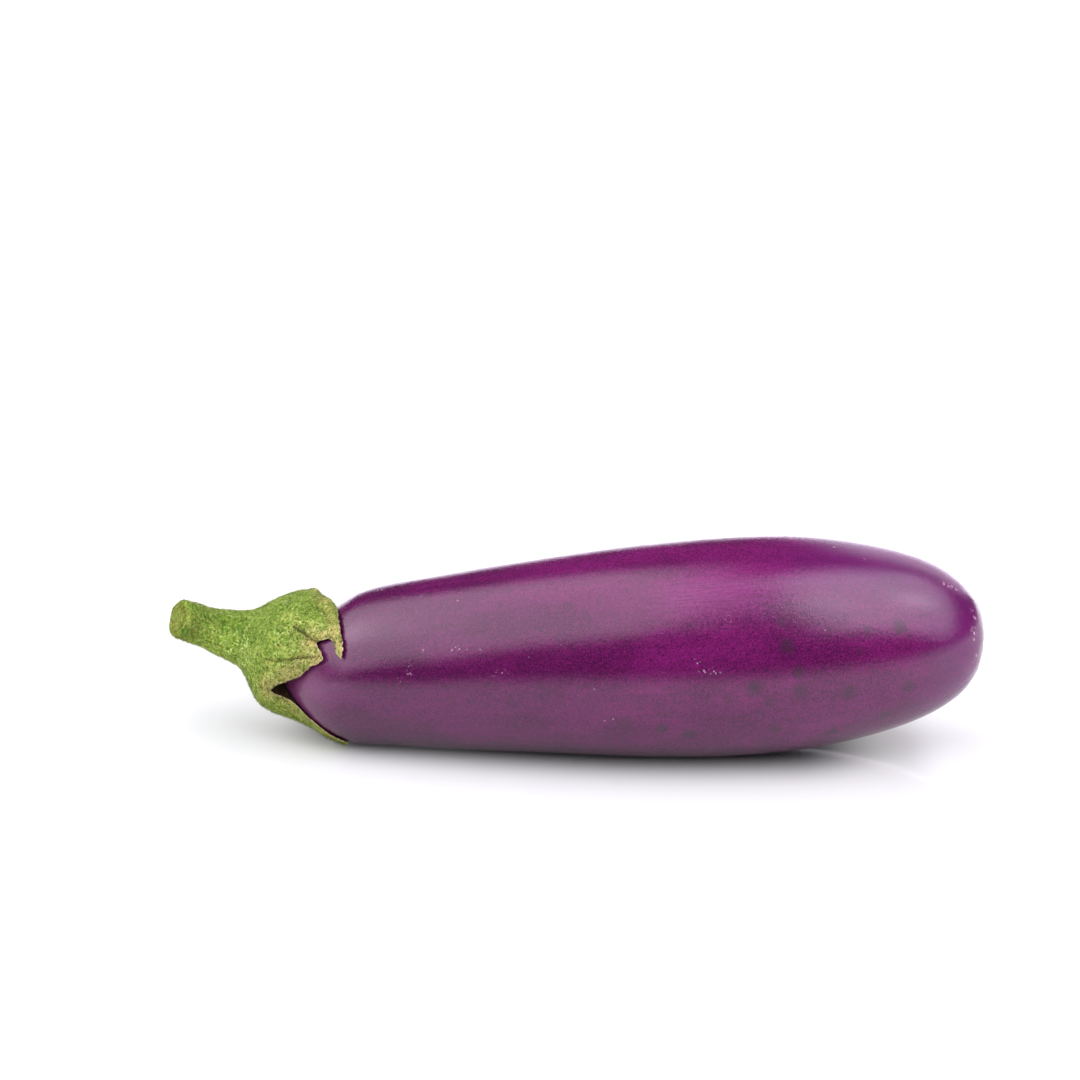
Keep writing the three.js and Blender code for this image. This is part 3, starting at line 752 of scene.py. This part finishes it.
def green_material(name, stem=False):
    m = Mat(name)
    v = m.attr("felt", "Vector")
    o = m.coords()
    station = m.attr("station")
    edge = m.attr("edge")
    mottle = m.noise(v, 0.26, 3, 0.6)
    mid = m.noise(m.scaled(v, (0.6, 1, 1)), 1.1, 3, 0.65)
    grain = m.noise(o, 1700.0, 2, 0.8)
    pits = m.voronoi(o, 1000.0)
    specks = m.noise(m.scaled(o, (1.3, 1.0, 0.8)), 900.0, 3, 0.7)
    green = m.mix(m.range(mottle, 0.36, 0.66), (0.092, 0.178, 0.012), (0.225, 0.290, 0.034))
    green = m.mix(m.range(mid, 0.44, 0.68, 0.0, 0.75), green, (0.300, 0.305, 0.052))
    green = m.mix(m.range(mid, 0.44, 0.30, 0.0, 0.60), green, (0.068, 0.125, 0.014))
    at = m.new("ShaderNodeSeparateXYZ")
    m.put(at.inputs[0], v)
    if stem:
        fresh = m.range(station, 3.0, 11.0)
        green = m.mix(m.math("MULTIPLY", fresh, 0.40), green, (0.120, 0.205, 0.020))
    else:
        # painted shade: the calyx is darker over its top
        green = m.mix(m.range(at.outputs[2], 13.0, 17.5, 0.0, 0.58), green, (0.095, 0.150, 0.012))
        neck = m.range(station, 30.0, 20.0)
        green = m.mix(m.math("MULTIPLY", neck, 0.38), green, (0.125, 0.205, 0.022))
        # the lobes pale towards their rims, which dry to a tan line
        pale = m.math("MULTIPLY", m.range(edge, 6.0, 0.4), m.range(m.noise(v, 0.33, 2, 0.6), 0.30, 0.60, 0.15, 0.95))
        green = m.mix(pale, green, (0.420, 0.330, 0.085))
        blush = m.math("MULTIPLY", m.range(edge, 6.0, 1.5), m.range(m.noise(v, 0.85, 3, 0.65), 0.56, 0.66, 0.0, 0.60))
        green = m.mix(blush, green, (0.400, 0.270, 0.120))
        rimn = m.noise(v, 0.8, 2, 0.6)
        rim = m.math("MULTIPLY", m.range(edge, 0.7, 0.12), m.range(rimn, 0.3, 0.6, 0.25, 1.0))
        green = m.mix(m.math("MULTIPLY", rim, 0.75), green, (0.50, 0.40, 0.150))
    green = m.mix(m.range(grain, 0.36, 0.48, 0.92, 0.0), green, (0.030, 0.050, 0.006))
    green = m.mix(m.range(grain, 0.55, 0.68, 0.0, 0.72), green, (0.44, 0.47, 0.125))
    green = m.mix(m.range(pits, 0.0, 0.24, 0.45, 0.0), green, (0.45, 0.48, 0.14))
    green = m.mix(m.range(specks, 0.40, 0.31, 0.0, 0.85), green, (0.055, 0.036, 0.010))
    green = m.mix(m.range(specks, 0.59, 0.68, 0.0, 0.80), green, (0.50, 0.50, 0.17))
    if not stem:
        fur = m.math("MULTIPLY", m.attr("furrow"), m.range(m.noise(v, 1.6, 2, 0.6), 0.28, 0.6, 0.50, 1.0))
        green = m.mix(m.math("MULTIPLY", fur, 0.95), green, (0.060, 0.030, 0.010))
        # painted shade: the inside faces of the lobes are near black, darkest away from the rim
        inner = m.mix(m.range(edge, 2.0, 0.4), (0.009, 0.0035, 0.0020), (0.026, 0.011, 0.005))
        green = m.mix(m.range(m.attr("inside"), 0.30, 0.90), green, inner)
    # brown scuffs
    sc = m.noise(m.scaled(v, (0.8, 1, 1)), 0.55, 4, 0.7)
    scuff = m.range(sc, 0.60, 0.69)
    if stem:
        near = m.range(station, 7.0, 1.0, 0.35, 1.0)
        scuff = m.math("MULTIPLY", m.range(sc, 0.49, 0.63), near)
    green = m.mix(m.math("MULTIPLY", scuff, 0.60), green, (0.105, 0.055, 0.014))
    if stem:
        cutr = m.attr("cutr")
        wood = m.mix(m.range(m.noise(v, 1.3, 3, 0.7), 0.35, 0.65), (0.100, 0.150, 0.013), (0.210, 0.265, 0.038))
        ring = m.math("MULTIPLY", m.range(cutr, 0.30, 0.45), m.range(cutr, 0.70, 0.55))
        wood = m.mix(m.math("MULTIPLY", ring, 0.18), wood, (0.30, 0.32, 0.09))
        dry = m.range(m.noise(v, 0.9, 3, 0.7), 0.48, 0.62)
        wood = m.mix(m.math("MULTIPLY", dry, 0.60), wood, (0.130, 0.068, 0.016))
        wood = m.mix(m.range(grain, 0.38, 0.48, 0.50, 0.0), wood, (0.090, 0.040, 0.012))
        wood = m.mix(m.range(grain, 0.56, 0.68, 0.0, 0.50), wood, (0.38, 0.38, 0.12))
        burnt = m.range(m.noise(o, 950.0, 3, 0.7), 0.47, 0.38, 0.0, 0.80)
        wood = m.mix(burnt, wood, (0.110, 0.046, 0.012))
        wood = m.mix(m.range(cutr, 0.86, 1.0, 0.0, 0.40), wood, (0.100, 0.060, 0.014))
        green = m.mix(m.attr("cut"), green, wood)
    if stem:
        # painted light: the stem is lighter underneath, more so near the calyx, and darker on top
        pale = m.math("MULTIPLY", m.range(at.outputs[2], 4.0, -1.5), m.range(station, 2.0, 6.0))
        green = m.mix(pale, green, (1.72, 1.65, 1.75), "MULTIPLY")
        neck = m.math("MULTIPLY", m.range(at.outputs[2], 7.0, 1.0), m.range(station, 8.0, 13.0))
        green = m.mix(neck, green, (1.25, 1.24, 1.30), "MULTIPLY")
        green = m.mix(m.range(at.outputs[2], 2.5, 5.0, 0.0, 0.8), green, (0.88, 0.93, 0.82), "MULTIPLY")
    else:
        # painted light: the calyx is lighter round its middle and lower sides, at its front and low round its neck
        pale = m.math("MULTIPLY", m.range(at.outputs[2], 6.0, 0.0), m.range(at.outputs[2], -12.0, -7.0))
        neck = m.math("MULTIPLY", m.range(at.outputs[2], 4.0, -1.5), m.range(station, 26.5, 21.5))
        green = m.mix(pale, green, (1.16, 1.12, 1.20), "MULTIPLY")
        front = m.math("MULTIPLY", m.range(at.outputs[2], 15.5, 12.5), m.range(at.outputs[2], -6.0, -1.0))
        front = m.math("MULTIPLY", front, m.math("MULTIPLY", m.range(station, 28.0, 34.0), m.range(at.outputs[1], 0.0, 4.0)))
        green = m.mix(front, green, (1.34, 1.22, 1.55), "MULTIPLY")
        green = m.mix(neck, green, (1.42, 1.38, 1.60), "MULTIPLY")
    green = m.mix(1.0, green, (1.15, 1.28, 1.45), "MULTIPLY")
    h = m.math("ADD", m.math("MULTIPLY", grain, 0.7), m.math("MULTIPLY", mid, 0.6))
    bump = m.bump(h, 0.85, 0.0006)
    m.set(Base_Color=green, Roughness=0.85, IOR=1.15, Normal=bump)
    m.b.inputs["Sheen Weight"].default_value = 0.03
    m.b.inputs["Sheen Roughness"].default_value = 0.5
    m.b.inputs["Sheen Tint"].default_value = (0.8, 1.0, 0.5, 1.0)
    return m.m


# ------------------------------------------------------------------ felt hairs
def build_hairs(name, grid, count, weight, seed, length=(0.30, 0.85), width=0.060):
    """Short bristles on a grid of rings: each one a closed four-faced spike rooted just under the surface."""
    rng = np.random.default_rng(seed)
    R, C = grid.shape[:2]
    N = ring_normals(grid)
    mid = grid.mean(axis=1, keepdims=True)
    if ((grid - mid) * N).sum() < 0:
        N = -N
    a = grid[:-1]
    b = np.roll(grid, -1, axis=1)[:-1]
    c = grid[1:]
    area = np.linalg.norm(np.cross(b - a, c - a), axis=-1) * weight[:-1]
    p = area.ravel() / area.sum()
    cell = rng.choice(len(p), count, p=p)
    i, j = cell // C, cell % C
    u, w = rng.random(count)[:, None], rng.random(count)[:, None]
    j2 = (j + 1) % C
    P = (1 - u) * ((1 - w) * grid[i, j] + w * grid[i, j2]) + u * ((1 - w) * grid[i + 1, j] + w * grid[i + 1, j2])
    n = N[i, j]
    tang = grid[i + 1, j] - grid[i, j]
    tang /= np.linalg.norm(tang, axis=-1, keepdims=True) + 1e-9
    jit = rng.normal(size=(count, 3)) * 0.45
    d = n * 0.75 + tang * 0.25 + jit
    d /= np.linalg.norm(d, axis=-1, keepdims=True)
    # never point into the surface
    dn = (d * n).sum(-1, keepdims=True)
    d = np.where(dn < 0.25, d + n * (0.35 - dn), d)
    d /= np.linalg.norm(d, axis=-1, keepdims=True)
    L = rng.uniform(*length, size=(count, 1)) * (0.7 + 0.6 * rng.random((count, 1)) ** 3)
    e1 = np.cross(d, rng.normal(size=(count, 3)))
    e1 /= np.linalg.norm(e1, axis=-1, keepdims=True)
    e2 = np.cross(d, e1)
    root = P - n * 0.05
    k = [root + width * (math.cos(t) * e1 + math.sin(t) * e2) for t in (0, 2.094, 4.189)]
    tip = root + d * (L + 0.05)
    verts = np.stack([k[0], k[1], k[2], tip], 1).reshape(-1, 3)
    o = (np.arange(count) * 4)[:, None]
    faces = np.concatenate([o + [0, 2, 1], o + [0, 1, 3], o + [1, 2, 3], o + [2, 0, 3]], 1).reshape(-1, 3)
    if signed_volume(verts, np.zeros((0, 4), int), faces) < 0:
        faces = faces[:, ::-1]
    verts[:, 2] = np.maximum(verts[:, 2], 0.02)
    return make_mesh(name, verts, np.zeros((0, 4), int), faces)


def hair_material():
    m = Mat("felt_hair")
    o = m.coords()
    patch = m.noise(o, 260.0, 3, 0.6)
    fine = m.noise(o, 1100.0, 2, 0.7)
    col = m.mix(m.range(patch, 0.38, 0.64), (0.140, 0.230, 0.026), (0.390, 0.420, 0.110))
    col = m.mix(m.range(fine, 0.55, 0.68, 0.0, 0.8), col, (0.55, 0.56, 0.20))
    col = m.mix(m.range(fine, 0.36, 0.46, 0.85, 0.0), col, (0.060, 0.060, 0.010))
    m.set(Base_Color=col, Roughness=0.75, IOR=1.4)
    return m.m


# ------------------------------------------------------------------ assembly
fruit = build_fruit()
fruit.data.materials.append(fruit_material())
calyx, calyx_grid = build_calyx()
calyx.data.materials.append(green_material("calyx_felt"))
stem, stem_grid = build_stem()
stem.data.materials.append(green_material("stem_felt", stem=True))

hair = hair_material()
w = (0.5 + 1.0 * (1 - ramp(calyx_grid["dist"], 0.2, 1.6))) * (1 - 0.9 * np.clip(calyx_grid["furrow"] * 1.4, 0, 1))
calyx_hair = build_hairs("calyx_fuzz", calyx_grid["grid"], 21000, w, 11)
calyx_hair.data.materials.append(hair)
w = np.ones(stem_grid["S"].shape) * ramp(stem_grid["S"], 0.2, 1.5)
stem_hair = build_hairs("stem_fuzz", stem_grid["grid"], 8000, w, 12)
stem_hair.data.materials.append(hair)

for piece, slot in ((fruit, "skin"), (calyx, "calyx"), (stem, "stem"), (calyx_hair, "calyx"), (stem_hair, "stem")):
    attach(piece, "root")
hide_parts("fruit")
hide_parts("calyx")
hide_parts("stem")

# ------------------------------------------------------------------ table
def build_floor():
    me = bpy.data.meshes.new("table")
    x = np.linspace(-6, 6, 61)
    y = np.r_[-0.145, -0.12, np.linspace(-0.1, 6, 50)]
    X, Y = np.meshgrid(x, y, indexing="ij")
    v = np.stack([X.ravel(), Y.ravel(), np.zeros(X.size)], -1)
    a = np.arange(X.size).reshape(X.shape)
    q = np.stack([a[:-1, :-1], a[1:, :-1], a[1:, 1:], a[:-1, 1:]], -1).reshape(-1, 4)
    me.from_pydata(v.tolist(), [], q.tolist())
    ob = bpy.data.objects.new("table", me)
    bpy.context.scene.collection.objects.link(ob)
    m = Mat("table_white")
    o = m.coords()
    xyz = m.new("ShaderNodeSeparateXYZ")
    m.put(xyz.inputs[0], o)
    # painted light: the table glows, not at all close round the fruit and more and more away from it, which paints
    # the edge of its shadow
    beyond = m.math("MAXIMUM", m.math("SUBTRACT", m.math("ABSOLUTE", m.math("ADD", xyz.outputs[0], -0.002)), 0.052), 0.0)
    side = m.math("SUBTRACT", xyz.outputs[1], m.range(xyz.outputs[0], 0.020, -0.062, 0.0, 0.012))
    d = m.math("SQRT", m.math("ADD", m.math("POWER", beyond, 2.0),
                              m.math("POWER", m.math("ABSOLUTE", side), 2.0)))
    painted_table_glow = m.math("ADD", m.math("ADD", m.range(d, 0.005, 0.028, 0.0, 0.31), m.range(d, 0.024, 0.10, 0.0, 0.28)),
                  m.range(d, 0.08, 0.42, 0.0, 0.75))
    grain = m.noise(o, 40.0, 2, 0.5)
    m.set(Base_Color=m.mix(m.range(grain, 0.3, 0.7), (0.520, 0.515, 0.548), (0.532, 0.528, 0.556)),
          Roughness=0.09, IOR=1.36,
          Emission_Color=(1.0, 1.0, 1.0), Emission_Strength=painted_table_glow)
    me.materials.append(m.m)
    return ob


floor = build_floor()


# ------------------------------------------------------------------ light
from mathutils import Matrix, Vector


def soft_box(name, azimuth, elevation, distance, half_width, half_height, radiance, only=None,
             roll=0.0, right=0.0, up=0.0, colour=(1.0, 1.0, 1.0)):
    """A rectangular soft box facing the object. Azimuth 0 is behind the object and 90 its right hand side.

    Sizes are for a distance of one. The roll turns the box in its own plane, leaning its top towards the back."""
    az, el, roll = math.radians(azimuth), math.radians(elevation), math.radians(roll)
    away = Vector((math.sin(az) * math.cos(el), math.cos(az) * math.cos(el), math.sin(el)))
    back = Vector((-math.cos(az), math.sin(az), 0.0))
    if back.y < 0:
        back = -back
    rise = Vector((-math.sin(az) * math.sin(el), -math.cos(az) * math.sin(el), math.cos(el)))
    across = back * math.cos(roll) - rise * math.sin(roll)
    tall = back * math.sin(roll) + rise * math.cos(roll)
    if across.cross(tall).dot(away) < 0:
        across = -across
        right = -right
    rot = Matrix((across, tall, across.cross(tall))).transposed()
    d = bpy.data.lights.new(name, "AREA")
    d.shape = "RECTANGLE"
    d.color = colour
    d.size, d.size_y = 2 * half_width * distance, 2 * half_height * distance
    d.energy = radiance * 4.0 * d.size * d.size_y
    ob = bpy.data.objects.new(name, d)
    ob.matrix_world = Matrix.Translation((away + across * right + tall * up) * distance) @ rot.to_4x4()
    ob.visible_camera = False
    if only == "gloss":
        ob.visible_diffuse = False
    if only == "body":
        ob.visible_glossy = False
    bpy.context.scene.collection.objects.link(ob)
    return ob


# two large soft boxes, left and right of the table, each with a brighter middle
LEFT, RIGHT = (1.03, 0.95, 1.02), (1.0, 0.94, 1.10)
soft_box("left_box_body", -105, 50, 1.04, 0.85, 0.82, 2.1, only="body")
soft_box("left_box_gloss", -105, 50, 1.00, 0.85, 0.74, 1.95, only="gloss", roll=-22, up=-0.04, colour=LEFT)
soft_box("left_box_middle", -97, 44, 0.96, 0.34, 0.28, 0.80, only="gloss", roll=-22, colour=LEFT)
soft_box("left_box_lamp", -95, 43.5, 0.94, 0.14, 0.09, 2.0, only="gloss", roll=-22, colour=LEFT)
soft_box("right_box_body", 112, 45, 1.04, 0.75, 0.53, 2.1, only="body")
soft_box("right_box_gloss", 112, 45, 1.00, 0.52, 0.66, 2.15, only="gloss", roll=35, up=0.08, colour=RIGHT)
soft_box("right_box_middle", 120, 54, 0.97, 0.30, 0.46, 0.80, only="gloss", roll=35, colour=RIGHT)
soft_box("right_box_corner", 149, 55, 0.93, 0.17, 0.17, 1.05, only="gloss", colour=RIGHT)
soft_box("right_box_lamp", 98, 42.5, 0.95, 0.10, 0.12, 2.6, only="gloss", roll=35, colour=RIGHT)
# a white card standing behind, to the right
soft_box("back_card", 45, 25, 1.5, 0.31, 0.34, 1.02, only="gloss", roll=-42, right=0.145, up=-0.28, colour=RIGHT)
soft_box("back_card_top", 45, 25, 1.5, 0.26, 0.24, 0.28, only="gloss", roll=-42, right=0.12, up=0.32, colour=RIGHT)
# the white wall far behind, low over the table's edge
soft_box("back_wall", -8, 5, 1.35, 0.95, 0.090, 2.0, only="gloss", colour=RIGHT)

world = bpy.data.worlds.new("studio") if bpy.context.scene.world is None else bpy.context.scene.world
bpy.context.scene.world = world
world.use_nodes = True
wt = world.node_tree
wt.nodes.clear()
dark = wt.nodes.new("ShaderNodeBackground")
dark.inputs[0].default_value = (0.93, 0.95, 1.0, 1.0)
dark.inputs[1].default_value = 0.07
white = wt.nodes.new("ShaderNodeBackground")
white.inputs[0].default_value = (1.0, 1.0, 1.0, 1.0)
white.inputs[1].default_value = 1.1
path = wt.nodes.new("ShaderNodeLightPath")
both = wt.nodes.new("ShaderNodeMixShader")
wout = wt.nodes.new("ShaderNodeOutputWorld")
wt.links.new(path.outputs["Is Camera Ray"], both.inputs[0])
wt.links.new(dark.outputs[0], both.inputs[1])
wt.links.new(white.outputs[0], both.inputs[2])
wt.links.new(both.outputs[0], wout.inputs[0])

# ------------------------------------------------------------------ camera
F_PX, IMAGE = 3000.0, 1080.0
ELEV = math.radians(17.0)
DIST = 0.750
z_t = (751.7 - 540) * 750.0 / (F_PX * math.cos(ELEV) - (751.7 - 540) * math.sin(ELEV))
x_t = -(575.0 - 540.0) * (750.0 + z_t * math.sin(ELEV)) / F_PX
target = np.array([x_t, 0.0, z_t]) + SHIFT
cam_at = target * MM - DIST * np.array([0.0, math.cos(ELEV), -math.sin(ELEV)])
cam_data = bpy.data.cameras.new("camera")
cam_data.sensor_width = 36.0
cam_data.lens = F_PX / IMAGE * 36.0
cam_data.clip_start, cam_data.clip_end = 0.01, 50.0
cam = bpy.data.objects.new("camera", cam_data)
cam.location = cam_at.tolist()
cam.rotation_euler = (math.radians(90.0) - ELEV, 0.0, 0.0)
bpy.context.scene.collection.objects.link(cam)
bpy.context.scene.camera = cam
bpy.context.scene.view_settings.view_transform = "Standard"
